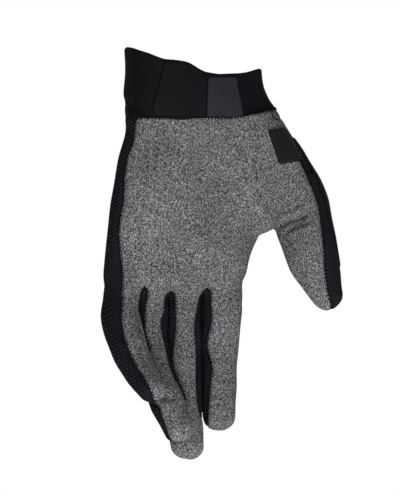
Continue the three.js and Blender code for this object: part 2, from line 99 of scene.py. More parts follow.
def tube(shape, around=72, per=6, dome=8):
    rows = smoothRows(shape["rows"], per)
    middle, wide, deep = rows[:, :3], rows[:, 3], rows[:, 4]
    along = np.gradient(middle, axis=0)
    if shape.get("straight"):
        along[:] = (0, 0, -1)
    along /= np.linalg.norm(along, axis=1)[:, None]
    turn = math.radians(shape["turn"])
    front = np.array([math.sin(turn), -math.cos(turn), 0.0])
    front = front - (along @ front)[:, None] * along
    front /= np.linalg.norm(front, axis=1)[:, None]
    across = np.cross(front, along)
    tip = np.radians(np.linspace(0, 88, dome + 1)[1:])
    last = [np.repeat(a[-1:], dome, axis=0) for a in (along, front, across)]
    middle = np.vstack([middle, middle[-1] + along[-1] * (np.sin(tip) * shape["tip"])[:, None]])
    along, front, across = (np.vstack(pair) for pair in zip((along, front, across), last))
    shrink = np.cos(tip) ** 0.75
    wide = np.append(wide, wide[-1] * shrink)
    deep = np.append(deep, deep[-1] * shrink)
    angle = np.linspace(0, 2 * math.pi, around, endpoint=False)
    side = bend(np.cos(angle), shape["square"])
    rise = bend(np.sin(angle), shape["square"])
    return (middle[:, None] + (wide[:, None] * side)[..., None] * across[:, None]
            + (deep[:, None] * rise)[..., None] * front[:, None]), middle


def ramp(value, low, high):
    t = np.clip((value - low) / (high - low), 0, 1)
    return t * t * (3 - 2 * t)


def spread(z, start=112, end=124):
    # how far the fingers are moved apart while the skin is made, so that they don't grow together
    return ramp(-z, start, end)


# Triangle meshes as arrays: points, triangles and named values at the points

def addRings(points, faces, rings):
    start, (count, around) = len(points), rings.shape[:2]
    points.extend(rings.reshape(-1, 3))
    for r in range(count - 1):
        for i in range(around):
            j = (i + 1) % around
            a, b = start + r * around, start + (r + 1) * around
            faces.append((a + i, a + j, b + j, b + i))
    faces.append([start + i for i in reversed(range(around))])
    faces.append([start + (count - 1) * around + i for i in range(around)])


def meshFrom(name, points, faces):
    mesh = bpy.data.meshes.new(name)
    mesh.from_pydata((np.asarray(points) * mm).tolist(), [], [list(map(int, face)) for face in faces])
    mesh.validate()
    mesh.update()
    return mesh


def addObject(name, data):
    made = bpy.data.objects.new(name, data)
    bpy.context.scene.collection.objects.link(made)
    return made


def arraysFrom(mesh):
    points = np.empty(len(mesh.vertices) * 3)
    mesh.vertices.foreach_get("co", points)
    mesh.calc_loop_triangles()
    triangles = np.empty(len(mesh.loop_triangles) * 3, int)
    mesh.loop_triangles.foreach_get("vertices", triangles)
    return points.reshape(-1, 3) / mm, triangles.reshape(-1, 3)


def edgesOf(triangles):
    pairs = np.concatenate([triangles[:, [k, (k + 1) % 3]] for k in range(3)])
    edges, which = np.unique(np.sort(pairs, axis=1), axis=0, return_inverse=True)
    return edges, which.reshape(3, -1).T


def averaged(values, edges, count):
    values = np.atleast_2d(values.T).T
    total = np.zeros((count, values.shape[1]))
    for a, b in ((0, 1), (1, 0)):
        for k in range(values.shape[1]):
            total[:, k] += np.bincount(edges[:, a], values[edges[:, b], k], count)
    near = np.bincount(edges.ravel(), minlength=count)
    return total / np.maximum(near, 1)[:, None]


def soften(points, triangles, weight, rounds):
    edges, _ = edgesOf(triangles)
    points = points.copy()
    for _ in range(rounds):
        points += (averaged(points, edges, len(points)) - points) * (0.6 * weight)[:, None]
    return points


def softenValues(values, triangles, rounds):
    edges, _ = edgesOf(triangles)
    for _ in range(rounds):
        values = 0.5 * values + 0.5 * averaged(values, edges, len(values)).reshape(values.shape)
    return values


def normalsOf(points, triangles):
    a, b, c = (points[triangles[:, k]] for k in range(3))
    facing = np.cross(b - a, c - a)
    normals = np.zeros_like(points)
    for k in range(3):
        for axis in range(3):
            normals[:, axis] += np.bincount(triangles[:, k], facing[:, axis], len(points))
    return normals / np.maximum(np.linalg.norm(normals, axis=1), 1e-12)[:, None]


def splitAt(skin, name, level, near=0.18):
    # adds points where a value crosses a level, so that panels and rolled edges end on clean lines
    points, triangles = skin["points"].copy(), skin["triangles"]
    data = {key: value.copy() for key, value in skin["data"].items()}
    edges, _ = edgesOf(triangles)
    value = data[name] - level
    a, b = edges[:, 0], edges[:, 1]
    crossing = value[a] * value[b] < 0
    share = value[a] / np.where(crossing, value[a] - value[b], 1)
    for end, other, close in ((a, b, crossing & (share < near)), (b, a, crossing & (share > 1 - near))):
        t = np.where(end[close] == a[close], share[close], 1 - share[close])
        for array in (points, *data.values()):
            step = t if array.ndim == 1 else t[:, None]
            array[end[close]] = array[end[close]] + (array[other[close]] - array[end[close]]) * step
        data[name][end[close]] = level
    value = data[name] - level
    value[np.abs(value) < 1e-9] = 0
    crossing = value[a] * value[b] < 0
    share = (value[a] / np.where(crossing, value[a] - value[b], 1))[crossing]
    start = len(points)
    added = np.full(len(edges), -1)
    added[crossing] = start + np.arange(crossing.sum())
    ea, eb = a[crossing], b[crossing]
    points = np.vstack([points, points[ea] + (points[eb] - points[ea]) * share[:, None]])
    for key, array in data.items():
        step = share if array.ndim == 1 else share[:, None]
        data[key] = np.concatenate([array, array[ea] + (array[eb] - array[ea]) * step])
    data[name][start:] = level
    _, triangleEdges = edgesOf(triangles)
    cut = added[triangleEdges]
    crossed = (cut >= 0).sum(axis=1)
    made = [triangles[crossed == 0]]
    for turn in range(3):
        order = [(turn + k) % 3 for k in range(3)]
        one = (crossed == 1) & (cut[:, turn] >= 0)
        p, q, r = triangles[one][:, order].T
        m = cut[one, turn]
        made += [np.stack([p, m, r], 1), np.stack([m, q, r], 1)]
        two = (crossed == 2) & (cut[:, (turn + 1) % 3] < 0)  # the lone corner is the first
        p, q, r = triangles[two][:, order].T
        m, n = cut[two, turn], cut[two, (turn + 2) % 3]
        made += [np.stack([p, m, n], 1), np.stack([m, q, r], 1), np.stack([m, r, n], 1)]
    return {"points": points, "triangles": np.vstack(made), "data": data}


def keepAbove(skin, name, level):
    middle = skin["data"][name][skin["triangles"]].mean(axis=1)
    return keepFaces(skin, middle > level)


def keepFaces(skin, wanted):
    triangles = skin["triangles"][wanted]
    used, again = np.unique(triangles, return_inverse=True)
    return {"points": skin["points"][used], "triangles": again.reshape(-1, 3),
            "data": {key: value[used] for key, value in skin["data"].items()}}


def mainParts(skin, share=0.03):
    # drops the crumbs that a cut leaves beside a panel: parts under this share of the largest one
    edges, _ = edgesOf(skin["triangles"])
    part = np.arange(len(skin["points"]))
    while True:
        low = np.minimum(part[edges[:, 0]], part[edges[:, 1]])
        before = part.copy()
        np.minimum.at(part, edges[:, 0], low)
        np.minimum.at(part, edges[:, 1], low)
        part = part[part]
        if (part == before).all():
            break
    names, counts = np.unique(part[skin["triangles"][:, 0]], return_counts=True)
    return keepFaces(skin, np.isin(part[skin["triangles"][:, 0]], names[counts > share * counts.max()]))


# The skin of the hand, from the joined limbs: the grid's step, how softly neighbouring fingers part,
# and the rounds of smoothing where limbs meet and all over
skinMaking = {"grid": 0.9, "parting": 0.8, "joinRounds": 70, "allRounds": 4}


def makeBody():
    points, faces, middles = [], [], {}
    for name, shape in limbs.items():
        rings, middle = tube(shape)
        apart = shape.get("apart", 0)
        rings[..., 0] += apart * spread(rings[..., 2])
        if "apart" in shape:
            middles[name] = middle + np.outer(apart * spread(middle[:, 2]), (1, 0, 0))
        addRings(points, faces, rings)
    joined = addObject("joinedLimbs", meshFrom("joinedLimbs", points, faces))
    grid = joined.modifiers.new("grid", "REMESH")
    grid.mode = "VOXEL"
    grid.voxel_size = skinMaking["grid"] * mm
    made = joined.evaluated_get(bpy.context.evaluated_depsgraph_get())
    points, triangles = arraysFrom(made.to_mesh())
    made.to_mesh_clear()
    bpy.data.objects.remove(joined)
    # the fingers go back together, each point with the finger whose middle is nearest
    names = list(middles)
    away = np.stack([np.min(np.linalg.norm(points[:, None] - middles[name][None, ::2], axis=2), axis=1)
                     for name in names], 1)
    share = np.exp(-(away - away.min(axis=1, keepdims=True)) / skinMaking["parting"])
    share /= share.sum(axis=1, keepdims=True)
    apart = share @ np.array([limbs[name]["apart"] for name in names])
    points[:, 0] -= apart * spread(points[:, 2])
    return points, triangles


# x, y, z, radius and strength of the smoothing where limbs meet, then the fingers' roots: x, z and radius
softSpots = [(22, -14, -40, 34, 1.0), (32, -14, -66, 22, 1.0), (36, 8, -60, 26, 0.7), (45, -14, -70, 12, 0.5)]
fingerRoots = [(15, -110, 14), (-3, -111, 14), (-20, -111, 14), (-38, -109, 15)]
softSpots += [(x, y, z, radius, 1.0) for y in (-6, 8) for x, z, radius in fingerRoots]

points, triangles = makeBody()
weight = np.zeros(len(points))
for x, y, z, radius, strength in softSpots:
    away = np.linalg.norm(points - (x, y, z), axis=1)
    weight = np.maximum(weight, strength * (1 - ramp(away, 0.4 * radius, radius)))
points = soften(points, triangles, weight, skinMaking["joinRounds"])
points = soften(points, triangles, np.ones(len(points)), skinMaking["allRounds"])


# Creases in the front: how deep and how wide each is, the height of the ridge that the cloth makes beside it
# and how far up that is, and its line in the view's plane, as points across and up
creases = [
    (3.5, 1.3, 0.9, 3.2, [(42.6, -82.6), (49.9, -78.0), (54.7, -77.0), (61.5, -73.6)]),
    (2.0, 1.4, 0.9, -2.8, [(47.5, -84.0), (53.0, -80.8), (58.0, -79.0), (63.5, -77.0)]),
    (0.35, 3.0, 0.2, 5.0, [(-24.0, -124.0), (-14.0, -120.0), (0.0, -121.0), (12.0, -118.0)]),
    (1.0, 1.7, 0.6, -3.4, [(-22.5, -169.5), (-18.0, -166.5), (-9.0, -170.0)]),
    (0.8, 1.3, 0.4, 2.8, [(9.5, -181.0), (16.0, -179.8), (22.5, -181.0)]),
    (0.5, 1.8, 0.25, 3.5, [(-40.0, -143.0), (-33.0, -146.0), (-27.0, -146.5)]),
    (0.5, 4.0, 0.4, 7.0, [(20.0, -62.0), (32.0, -69.0), (41.0, -78.0)]),
]
slowWaves = [  # direction, length and height of the slow unevenness of the cloth
    ((0.8, 0.1, 0.6), 23.0, 0.12), ((-0.5, 0.3, 0.8), 17.0, 0.10), ((0.2, 0.9, 0.4), 13.0, 0.08),
]
# How far the cloth has to face the view for each: from where it counts, and from where it counts fully
facingView = {"crease": (0.1, 0.5), "seam": (-0.1, 0.2), "cuff": (-0.35, 0.1), "badge": -0.1}


def viewPlane(points):
    return np.stack([points @ viewRight, points[:, 2]], 1)


def alongLine(spots, line):
    # how far each spot is from a broken line, on its upper side if positive, and its share of the way
    line = np.array(line, float)
    lengths = np.linalg.norm(np.diff(line, axis=0), axis=1)
    starts = np.append(0, np.cumsum(lengths))
    best, share = np.full(len(spots), 1e9), np.zeros(len(spots))
    for a, b, length, start in zip(line[:-1], line[1:], lengths, starts):
        along = (b - a) / length
        t = np.clip((spots - a) @ along, 0, length)
        offset = spots - a - t[:, None] * along
        side = np.where(offset @ (-along[1], along[0]) < 0, -1, 1)
        away = np.linalg.norm(offset, axis=1) * side
        closer = np.abs(away) < np.abs(best)
        best = np.where(closer, away, best)
        share = np.where(closer, (start + t) / starts[-1], share)
    return best, share


def shrunk(corners, by):
    corners = np.array(corners, float)
    before, after = np.roll(corners, 1, axis=0), np.roll(corners, -1, axis=0)
    a = (corners - before) / np.linalg.norm(corners - before, axis=1)[:, None]
    b = (after - corners) / np.linalg.norm(after - corners, axis=1)[:, None]
    inward = np.stack([a[:, 1] + b[:, 1], -a[:, 0] - b[:, 0]], 1)
    inward *= 2 * by / np.maximum((inward ** 2).sum(axis=1), 0.5)[:, None]
    return corners + inward


def insideOf(spots, corners, rounding):
    # how far inside an outline that runs clockwise each spot is, with its corners rounded
    core = shrunk(corners, rounding)
    away, within = np.full(len(spots), 1e9), np.zeros(len(spots), bool)
    for a, b in zip(core, np.roll(core, -1, axis=0)):
        t = np.clip(((spots - a) @ (b - a)) / ((b - a) @ (b - a)), 0, 1)
        away = np.minimum(away, np.linalg.norm(spots - a - t[:, None] * (b - a), axis=1))
        beside = (a[1] > spots[:, 1]) != (b[1] > spots[:, 1])
        rise = np.where(b[1] == a[1], 1e-9, b[1] - a[1])
        within ^= beside & (spots[:, 0] < a[0] + (spots[:, 1] - a[1]) / rise * (b[0] - a[0]))
    return rounding + np.where(within, away, -away)


bulges = [  # a spot in the view's plane, its radius, and how far the cloth moves across and up there
    (38.0, -82.0, 8.0, -0.8, -2.0), (44.5, -81.0, 4.0, 0.0, 2.6), (26.0, -109.0, 9.0, 0.7, 0.0),
    (52.0, -101.0, 10.0, -1.5, -0.3), (63.0, -117.0, 6.0, -0.3, -0.4), (71.0, -125.0, 5.0, 0.9, -0.9),
]


def bulge(points):
    spots = viewPlane(points)
    moved = points.copy()
    for across, up, radius, right, rise in bulges:
        share = np.exp(-((spots - (across, up)) ** 2).sum(axis=1) / radius ** 2)[:, None]
        moved += share * (viewRight * right + (0, 0, rise))
    return moved


def crease(points, triangles):
    normals = normalsOf(points, triangles)
    spots = viewPlane(points)
    facing = ramp(normals @ viewBack, *facingView["crease"])
    lift = np.zeros(len(points))
    for depth, width, height, place, line in creases:
        away, share = alongLine(spots, line)
        fade = ramp(share, -0.05, 0.3) * (1 - ramp(share, 0.7, 1.05))
        groove = -depth * np.exp(-(away / width) ** 2)
        ridge = height * np.exp(-((away - place) / (0.5 * abs(place))) ** 2)
        lift += facing * fade * (groove + ridge)
    for direction, length, height in slowWaves:
        lift += height * np.sin(points @ np.array(direction) * (2 * math.pi / length))
    return points + normals * lift[:, None]
points = crease(bulge(points), triangles)
print("body skin", len(points), "points")


# Seams: how far each point is from the neighbouring piece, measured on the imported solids

def treeFrom(points, triangles):
    return BVHTree.FromPolygons((points * mm).tolist(), triangles.tolist())


def treeOf(node):
    return treeFrom(*arraysFrom(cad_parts[node].data))


# Each panel's finish and the width and height that it has when it is cut and flat
panelShapes = {
    "palm_panel": ("suede", (150, 195)), "back_panel": ("knit", (150, 200)),
    "fourchette_index_middle": ("knit", (24, 160)), "fourchette_middle_ring": ("knit", (24, 150)),
    "fourchette_ring_little": ("knit", (18, 110)), "thumb_side": ("knit", (16, 70))}
panelNodes = list(panelShapes)
trees = {node: treeOf(node) for node in panelNodes}


def nearest(tree, point):
    place, _, _, away = tree.find_nearest(point)
    return place, away / mm


def seamValues(points):
    away = np.empty((len(points), len(panelNodes)))
    for n, point in enumerate((points * mm).tolist()):
        found = [nearest(tree, point) for tree in trees.values()]
        best = min(range(len(found)), key=lambda k: found[k][1])
        spot = found[best][0]
        for k, tree in enumerate(trees.values()):
            away[n, k] = 0 if k == best else nearest(tree, spot)[1]
    inside = np.empty_like(away)
    for k in range(len(panelNodes)):
        others = np.delete(away, k, axis=1).min(axis=1)
        inside[:, k] = others - away[:, k]
    return inside


# Where the palm ends in front: a limb, the way across to what isn't palm, and a line of the view's plane
# Round the tips of the little and ring fingers, and along the ring finger's edge over the middle, these lines
# end the palm short, so the black knit shows there as a thin dark line: partly the black side strip, partly
# painted shade where these fingers overlap.
frontSeamsAndShade = [
    ("little", -18.0, [
        (-29.7, -21.2), (-30.3, -24.4), (-31.2, -36.6), (-34.9, -45.6), (-36.1, -55.1), (-36.1, -61.0),
        (-36.4, -68.4), (-38.2, -76.3), (-38.8, -85.3), (-37.6, -97.5), (-36.6, -103.4), (-36.8, -119.8),
        (-36.8, -128.8), (-35.6, -136.7), (-31.3, -147.9), (-25.4, -156.9), (-20.9, -164.0),
        (-20.0, -167.5), (-20.2, -169.7), (-18.6, -170.7), (-16.9, -171.5), (-14.8, -170.9),
        (-13.2, -168.5), (-11.7, -166.7), (-8.5, -168.0), (-8.5, -180.7)]),
    ("little", 14.0, [
        (-24.1, -112.4), (-26.0, -114.7), (-26.6, -117.7), (-27.6, -123.5), (-27.6, -127.7),
        (-26.8, -133.6), (-25.3, -137.8), (-23.5, -142.0), (-21.2, -146.3)]),
    ("ring", -14.0, [
        (-24.3, -112.4), (-23.5, -114.5), (-23.7, -117.7), (-25.3, -123.0), (-25.7, -127.2),
        (-25.7, -133.6), (-25.1, -137.3), (-23.2, -141.5), (-20.9, -145.2)]),
    ("ring", 14.0, [
        (-11.1, -115.3), (-13.0, -116.6), (-14.0, -118.7), (-14.2, -124.6), (-16.0, -130.1),
        (-15.8, -134.6), (-14.8, -138.9), (-12.9, -146.3), (-11.6, -152.6), (-8.6, -159.8), (-5.4, -165.4),
        (-2.3, -170.1)]),
    ("middle", -14.0, [
        (-11.1, -115.3), (-9.9, -116.6), (-9.8, -119.8), (-9.3, -130.4), (-9.6, -136.7), (-11.0, -144.0),
        (-11.8, -149.5), (-10.9, -154.2), (-8.6, -160.3), (-5.4, -166.2), (-2.4, -170.9)]),
    ("middle", 14.0, [
        (8.7, -114.1), (6.1, -115.9), (4.6, -118.2), (3.0, -123.5), (1.9, -129.3), (1.4, -136.2),
        (2.1, -143.6), (2.4, -152.6), (2.3, -162.2), (2.8, -171.2), (3.9, -177.0), (5.1, -182.9),
        (5.5, -189.7)]),
    ("index", -14.0, [
        (8.5, -114.1), (9.4, -116.1), (8.9, -119.8), (9.5, -126.1), (9.3, -131.4), (7.6, -137.8),
        (6.8, -141.5), (7.0, -145.8), (9.2, -151.1), (9.8, -154.8), (9.2, -160.6), (8.2, -168.0),
        (7.5, -174.9), (7.2, -181.3), (7.3, -184.2)]),
    # this line stops the palm short of the ring's tip, so the black knit under it is partly painted shade
    # below the tip
    ("ring", -16.0, [
        (-18.6, -171.7), (-17.2, -174.4), (-16.3, -177.6), (-14.3, -182.9), (-12.9, -187.1),
        (-11.3, -191.1), (-10.1, -192.0), (-8.0, -192.4), (-4.2, -192.1), (-1.4, -190.7), (0.0, -189.7),
        (3.2, -190.3), (3.2, -200.3)]),
    ("thumb", 14.0, [
        (49.6, -30.7), (52.5, -36.8), (55.1, -41.9), (57.2, -46.6), (60.5, -54.0), (63.9, -62.3),
        (66.5, -70.3), (67.8, -80.7), (68.7, -92.6), (69.1, -103.0), (70.1, -112.4), (71.5, -118.2),
        (73.4, -124.6), (73.7, -126.1)]),
]
# Where a panel reaches further over a tip: its node, a spot, the spot's radius and how far
tipReach = [("palm_panel", (7.0, -19.0, -188.5), 8.0, 4.0), ("palm_panel", (-17.5, -32.0, -202.0), 8.0, 4.0),
            ("thumb_side", (66.0, -38.0, -119.0), 10.0, 10.0)]
fingers = ["index", "middle", "ring", "little"]
thumbFrom = 47.0  # across, in the view's plane
seamReach = (5, 9)  # how far from a line it counts fully, and at all
# Where the seam's line is smoothed: x, y, z and radius of each spot, and the rounds there and all over
seamSmooth = {"spots": [(-47, -5, -106, 12), (15, -8, -113, 7), (-3, -8, -114, 7), (-20, -8, -114, 7),
                        (-37, -8, -113, 7), (46, -12, -20, 9), (66, -36, -116, 8)],
              "rounds": 20, "before": 6, "after": 3}


def limbOf(points):
    # which limb each point belongs to: the thumb by its place in front, a finger by its nearest line
    best, owner = np.full(len(points), 1e9), np.full(len(points), "palm", dtype=object)
    for name in fingers:
        for row in smoothRows(limbs[name]["rows"], 6):
            away = np.linalg.norm(points - row[:3], axis=1) - row[3]
            owner = np.where(away < best, name, owner)
            best = np.minimum(best, away)
    return np.where(viewPlane(points)[:, 0] > thumbFrom, "thumb", owner)


def beside(spots, line, reach):
    # how far inside the area between a line and its copy moved across each spot is
    moved = [(across + reach, up) for across, up in line[::-1]]
    return insideOf(spots, line + moved, 0.0)


def setFrontSeamsAndShade(inside):
    # the palm's value follows the lines on what faces the view, and the leader of the others takes the rest
    # round the little and ring fingertips these lines bare the black knit as a thin dark edge, partly side
    # strip and partly painted shade
    spots, owner = viewPlane(points), limbOf(points)
    wanted = np.full(len(points), 1e9)
    for limb, reach, line in frontSeamsAndShade:
        away = np.where(owner == limb, -beside(spots, line, reach), 1e9)
        wanted = np.minimum(wanted, away)
    facing = ramp(normalsOf(points, triangles) @ viewBack, *facingView["seam"])
    share = facing * (1 - ramp(np.abs(wanted), *seamReach))
    palm = panelNodes.index("palm_panel")
    leader = np.delete(inside, palm, axis=1).max(axis=1)
    wanted = np.where(share > 0, wanted, 0)
    inside = inside + (share * (-wanted - leader))[:, None] * (np.arange(len(panelNodes)) != palm)
    inside[:, palm] += share * (wanted - inside[:, palm])
    return inside


def reachOver(inside):
    for node, spot, radius, reach in tipReach:
        share = np.exp(-(np.linalg.norm(points - spot, axis=1) / radius) ** 2)
        sign = np.where(np.array(panelNodes) == node, 1, -1)
        inside = inside + reach * share[:, None] * sign
    return inside


def smoothSeams(inside):
    share = np.zeros(len(points))
    for x, y, z, radius in seamSmooth["spots"]:
        share = np.maximum(share, 1 - ramp(np.linalg.norm(points - (x, y, z), axis=1), 0.5 * radius, radius))
    edges, _ = edgesOf(triangles)
    for _ in range(seamSmooth["rounds"]):
        inside = inside + (averaged(inside, edges, len(inside)) - inside) * (0.5 * share)[:, None]
    return inside


def settled(inside):
    # each panel's lead over the next one, so that no spot is left bare where three meet
    leads = [inside[:, k] - np.delete(inside, k, axis=1).max(axis=1) for k in range(len(panelNodes))]
    return np.stack(leads, 1) / 2


inside = reachOver(softenValues(seamValues(points), triangles, seamSmooth["before"]))
inside = settled(softenValues(setFrontSeamsAndShade(smoothSeams(inside)), triangles, seamSmooth["after"]))
body = {"points": points, "triangles": triangles,
        "data": {node: inside[:, k] for k, node in enumerate(panelNodes)}}
# The cuff's lower edge, as x and height, and the gap that the panels keep from it
cuffLine = [(-90, -24.5), (-12, -24.6), (18, -23.4), (32, -20.4), (46, -17.4), (90, -12)]
cuffGap = 0.15
body["data"]["belowCuff"] = np.interp(points[:, 0], *zip(*cuffLine)) - points[:, 2] - cuffGap
print("seams measured")


# Materials

def addNode(tree, kind, values=(), feeds=(), **settings):
    # a shader node, with the values of its sockets and the (node, output) that feeds each of the others
    node = tree.nodes.new("ShaderNode" + kind)
    for key, value in settings.items():
        setattr(node, key, value)
    for socket, value in dict(values).items():
        node.inputs[socket].default_value = value
    for socket, (source, output) in dict(feeds).items():
        tree.links.new(source.outputs[output], node.inputs[socket])
    return node


def makeGrain():
    # fine grain and slow mottle from two noises, with a diagonal twill
    group = bpy.data.node_groups.new("clothGrain", "ShaderNodeTree")
    for label in ("Grain", "Stretch", "Rib", "Rib Share", "Mottle"):
        kind = "NodeSocketVector" if label == "Stretch" else "NodeSocketFloat"
        group.interface.new_socket(label, in_out="INPUT", socket_type=kind)
    for label in ("Grain", "Mottle"):
        group.interface.new_socket(label, in_out="OUTPUT", socket_type="NodeSocketFloat")
    start = group.nodes.new("NodeGroupInput")
    end = group.nodes.new("NodeGroupOutput")
    place = addNode(group, "TexCoord")
    stretch = addNode(group, "Mapping", feeds={"Vector": (place, "Object"), "Scale": (start, "Stretch")})
    fine = addNode(group, "TexNoise", {"Detail": 3.5, "Roughness": 0.7},
                   {"Vector": (stretch, "Vector"), "Scale": (start, "Grain")})
    slow = addNode(group, "TexNoise", {"Detail": 3.0},
                   {"Vector": (place, "Object"), "Scale": (start, "Mottle")})
    ribs = []
    for degrees in (42, -42):
        turned = addNode(group, "Mapping", {"Rotation": (0, math.radians(degrees), 0)},
                         {"Vector": (place, "Object")})
        ribs.append(addNode(group, "TexWave", {"Distortion": 1.2, "Detail": 1.0, "Detail Scale": 2.0},
                            {"Vector": (turned, "Vector"), "Scale": (start, "Rib")}))
    twill = addNode(group, "Math", feeds={0: (ribs[0], "Fac"), 1: (ribs[1], "Fac")}, operation="MULTIPLY")
    mix = addNode(group, "Mix", feeds={"Factor": (start, "Rib Share"), "A": (fine, "Fac"),
                                       "B": (twill, "Value")})
    group.links.new(mix.outputs["Result"], end.inputs["Grain"])
    group.links.new(slow.outputs["Fac"], end.inputs["Mottle"])
    return group


grain = makeGrain()


def clothMaterial(name, look):
    material = bpy.data.materials.new(name)
    material.use_nodes = True
    tree = material.node_tree
    shader = tree.nodes["Principled BSDF"]
    weave = addNode(tree, "Group", {
        "Grain": look["grain"], "Stretch": (1, 1, look["stretch"]), "Rib": look["rib"],
        "Rib Share": look["ribShare"], "Mottle": look["mottle"]}, node_tree=grain)
    colours = addNode(tree, "ValToRGB", feeds={"Fac": (weave, "Grain")})
    stops = colours.color_ramp.elements
    for n, (at, colour) in enumerate(look["colours"]):
        stop = stops[n] if n < 2 else stops.new(at)
        stop.position = at
        stop.color = (*colour, 1)
    tone = addNode(tree, "MapRange", {
        "From Min": 0.3, "From Max": 0.7, "To Min": 1 - look["tone"], "To Max": 1 + look["tone"]},
        {"Value": (weave, "Mottle")})
    shade = addNode(tree, "Mix", {"Factor": 1.0}, {"A": (colours, "Color"), "B": (tone, "Result")},
                    data_type="RGBA", blend_type="MULTIPLY")
    bump = addNode(tree, "Bump", {"Strength": look["bump"], "Distance": look["relief"] * mm},
                   {"Height": (weave, "Grain")})
    tree.links.new(shade.outputs["Result"], shader.inputs["Base Color"])
    tree.links.new(bump.outputs["Normal"], shader.inputs["Normal"])
    shader.inputs["Roughness"].default_value = look["roughness"]
    shader.inputs["Specular IOR Level"].default_value = look["specular"]
    return material


# Each finish: the scales of its grain, ribs and mottle, the grain's stretch along the glove, the ribs' share,
# how far the mottle moves the tone, the colours with their places in the grain, and the relief in mm
looks = {
    "suede": {
        "grain": 1600.0, "stretch": 0.85, "rib": 390.0, "ribShare": 0.08, "mottle": 45.0, "tone": 0.16,
        "colours": [(0.39, (0.018, 0.018, 0.019)), (0.61, (0.53, 0.53, 0.54)), (0.49, (0.14, 0.14, 0.143))],
        "bump": 0.6, "relief": 0.35, "roughness": 0.95, "specular": 0.1},
    "knit": {
        "grain": 1100.0, "stretch": 1.0, "rib": 240.0, "ribShare": 0.45, "mottle": 60.0, "tone": 0.1,
        "colours": [(0.15, (0.0035, 0.0035, 0.005)), (0.7, (0.032, 0.032, 0.045)),
                    (0.4, (0.01, 0.01, 0.0145))],
        "bump": 0.6, "relief": 0.3, "roughness": 0.85, "specular": 0.1},
    "elastic": {
        "grain": 1300.0, "stretch": 0.7, "rib": 420.0, "ribShare": 0.2, "mottle": 40.0, "tone": 0.12,
        "colours": [(0.36, (0.0018, 0.002, 0.003)), (0.64, (0.0075, 0.008, 0.0115)),
                    (0.5, (0.0038, 0.0042, 0.006))],
        "bump": 0.5, "relief": 0.25, "roughness": 0.7, "specular": 0.13},
    "smooth_black": {
        "grain": 1500.0, "stretch": 0.9, "rib": 500.0, "ribShare": 0.05, "mottle": 50.0, "tone": 0.1,
        "colours": [(0.36, (0.0018, 0.0019, 0.003)), (0.64, (0.006, 0.0062, 0.009)),
                    (0.5, (0.0035, 0.0036, 0.0054))],
        "bump": 0.3, "relief": 0.15, "roughness": 0.62, "specular": 0.14},
    "label": {
        "grain": 1700.0, "stretch": 0.8, "rib": 600.0, "ribShare": 0.1, "mottle": 60.0, "tone": 0.08,
        "colours": [(0.36, (0.022, 0.0195, 0.0265)), (0.64, (0.045, 0.04, 0.053)),
                    (0.5, (0.033, 0.029, 0.038))],
        "bump": 0.25, "relief": 0.08, "roughness": 0.8, "specular": 0.1},
    "rubber": {
        "grain": 2200.0, "stretch": 1.0, "rib": 600.0, "ribShare": 0.0, "mottle": 70.0, "tone": 0.06,
        "colours": [(0.36, (0.0085, 0.0085, 0.0093)), (0.64, (0.0155, 0.0155, 0.0172)),
                    (0.5, (0.0115, 0.0115, 0.0125))],
        "bump": 0.15, "relief": 0.05, "roughness": 0.6, "specular": 0.2},
}
materials = {slot: clothMaterial(slot, look) for slot, look in looks.items()}
print("materials made")


# Pieces

def finishPiece(name, skin, slot, node, wall=None):
    mesh = meshFrom(name, skin["points"], skin["triangles"])
    mesh.polygons.foreach_set("use_smooth", [True] * len(mesh.polygons))
    mesh.materials.append(materials[slot])
    piece = addObject(name, mesh)
    if wall:
        thick = piece.modifiers.new("thickness", "SOLIDIFY")
        thick.thickness = wall * mm
        thick.offset = -1
        thick.use_even_offset = False
    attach(piece, "root")
    if node:
        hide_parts(node)
    return piece


body["data"]["normal"] = normalsOf(body["points"], body["triangles"])
# At a seam: half the gap, rows of points beside it, how the edge sinks, how the cloth swells behind, the wall
seam = {"gap": 0.12, "rows": (0.45, 0.9, 1.5, 2.4), "sink": 0.75, "sinkWidth": 0.95, "swell": 0.22,
        "swellAt": 2.3, "swellWidth": 1.3, "wall": 1.1}


def makePanel(node, slot, flat):
    panel = keepAbove(splitAt(body, "belowCuff", 0), "belowCuff", 0)
    panel["data"]["edge"] = panel["data"][node]
    panel = mainParts(keepAbove(splitAt(panel, "edge", seam["gap"]), "edge", seam["gap"]))
    for row in seam["rows"]:
        panel = splitAt(panel, "edge", seam["gap"] + row)
    away = panel["data"]["edge"] - seam["gap"]
    lift = (-seam["sink"] * np.exp(-(away / seam["sinkWidth"]) ** 2)
            + seam["swell"] * np.exp(-((away - seam["swellAt"]) / seam["swellWidth"]) ** 2))
    panel["points"] = panel["points"] + panel["data"]["normal"] * lift[:, None]
    piece = finishPiece(node + "_cloth", panel, slot, node, seam["wall"])
    return panel


panels = {node: makePanel(node, *shape) for node, shape in panelShapes.items()}
print("panels made")


# The cuff, as a closed band: its wall's outline at each angle round the wrist

cuffShape = {"around": 300, "rows": 34, "wall": 2.4, "rim": 8, "tuck": 3.0, "tuckFrom": 1.0, "tuckSink": 1.2,
             "layer": 0.45, "wave": 0.14, "seamHeight": -24.0, "topRounds": 3,
             "flat": (215, 36), "area": 6800}
palmColumns = smoothRows(limbs["palm"]["rows"][:5], 8)  # x, y, z, half width, half depth, sorted by height
palmColumns = palmColumns[palmColumns[:, 2].argsort()]
cuffTop = [  # angle round the wrist, height: 0 is the thumb's side, 90 the palm, 180 the little finger's side
    (0, 2.5), (14, 3.4), (26, 3.4), (40, 2.2), (55, 0.6), (66, -0.2), (76, -0.6), (84, -1.0), (91, -0.2),
    (96, 2.0), (101, 4.1), (105, 5.0), (113, 5.6), (125, 6.0), (133, 7.4), (143, 9.2), (155, 10.6),
    (170, 12.1), (186, 13.2), (200, 12.0), (225, 9.0), (250, 5.0), (270, 1.5), (290, -1.5), (320, -1.2),
    (345, 1.2), (360, 2.5)]
